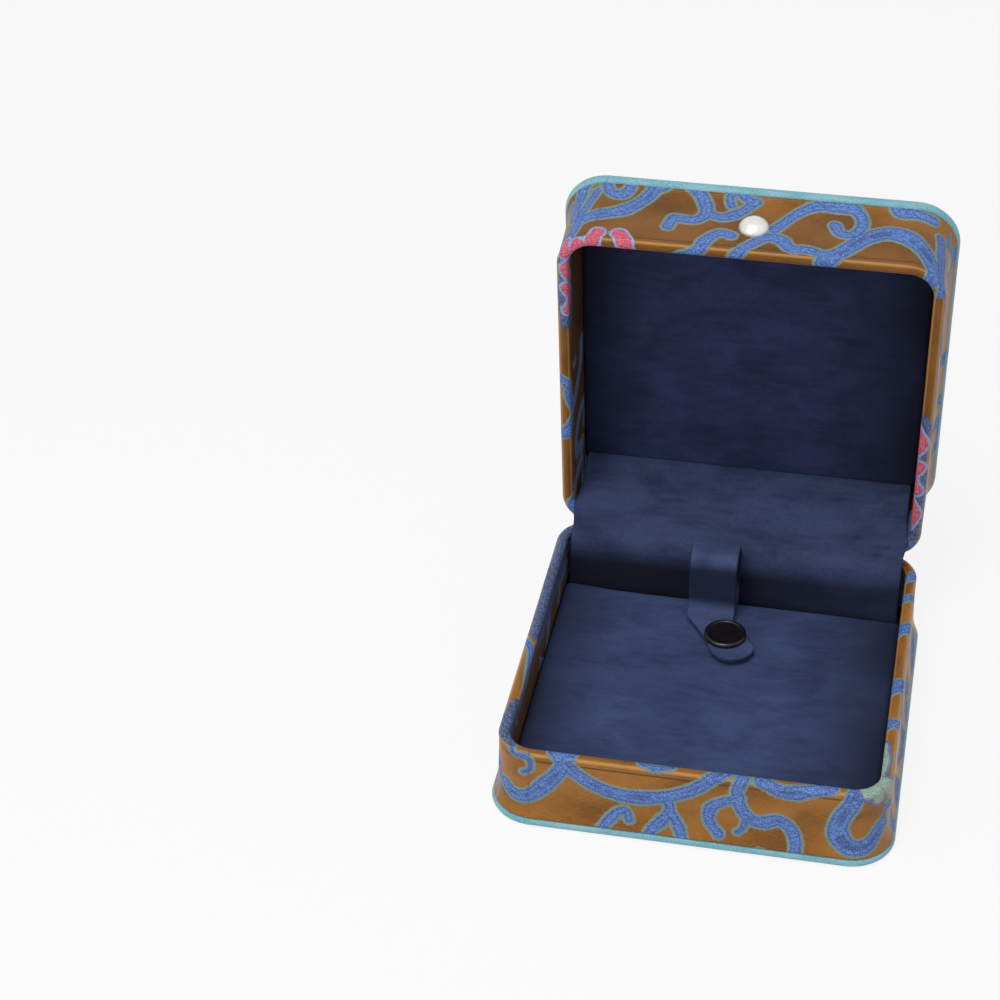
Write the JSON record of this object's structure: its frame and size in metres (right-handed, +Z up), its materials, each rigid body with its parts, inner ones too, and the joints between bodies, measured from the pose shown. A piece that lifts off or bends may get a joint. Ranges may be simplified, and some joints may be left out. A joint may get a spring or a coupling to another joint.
{
  "type": "brocade jewellery box",
  "caption": "Square brocade-covered box with a padded, piped lid that swings open on a sprung hinge, navy lining, and a press-stud strap over the pad.",
  "frame": {"origin": "middle of the underside of the base, on the table", "axes": "+X to the box's right, +Y to the rear where the hinge is, +Z up; the lid stands open at rest"},
  "size_m": [0.1, 0.1223, 0.1209],
  "materials": {
    "brocade": "bronze satin brocade with raised blue cloud scrolls and pink and pale lotus petals",
    "moulded_shell": "moulded plain",
    "piping_cloth": "pale blue satin",
    "underside_cloth": "plain weave",
    "card": "grey board",
    "foam": "soft foam",
    "navy_leatherette": "fine grained, satin",
    "hinge_steel": "plated",
    "black_cap": "black lacquer",
    "snap_metal": "plated brass",
    "silver_knob": "satin silver"
  },
  "bodies": {
    "base": {"base_brocade": "brocade", "base_shell": "moulded_shell", "base_piping": "piping_cloth", "bottom_cloth": "underside_cloth", "bottom_board": "card", "pad_board": "card", "pad_foam": "foam", "pad_cover": "navy_leatherette", "hinge_flap": "navy_leatherette", "strap_loop": "navy_leatherette", "hinge_leaf_base": "hinge_steel", "hinge_pin": "hinge_steel", "hinge_rivets_base": "hinge_steel", "hinge_springs": "hinge_steel", "snap_stud": "snap_metal", "snap_post": "snap_metal"},
    "lid": {"lid_shell": "moulded_shell", "lid_brocade": "brocade", "lid_piping": "piping_cloth", "top_board": "card", "top_foam": "foam", "top_brocade": "brocade", "lid_panel_board": "card", "lid_panel_foam": "foam", "lid_panel_cover": "navy_leatherette", "hinge_leaf_lid": "hinge_steel", "hinge_rivets_lid": "hinge_steel", "lift_stud": "silver_knob", "lift_stud_washer": "hinge_steel"},
    "strap": {"strap_tab": "navy_leatherette", "snap_cap": "black_cap", "snap_socket": "snap_metal"}
  },
  "joints": [
    {"name": "lid_hinge", "type": "hinge", "parent": "base", "child": "lid", "pos_m": [0, 0.0466, 0.0224], "axis": [1, 0, 0], "range_deg": [0, 84.5], "deforming": ["hinge_flap", "hinge_springs"]},
    {"name": "strap_tab_lift", "type": "hinge", "parent": "base", "child": "strap", "pos_m": [-0.0042, 0.02285, 0.0138], "axis": [-1, 0, 0], "range_deg": [0, 70]}
  ]
}
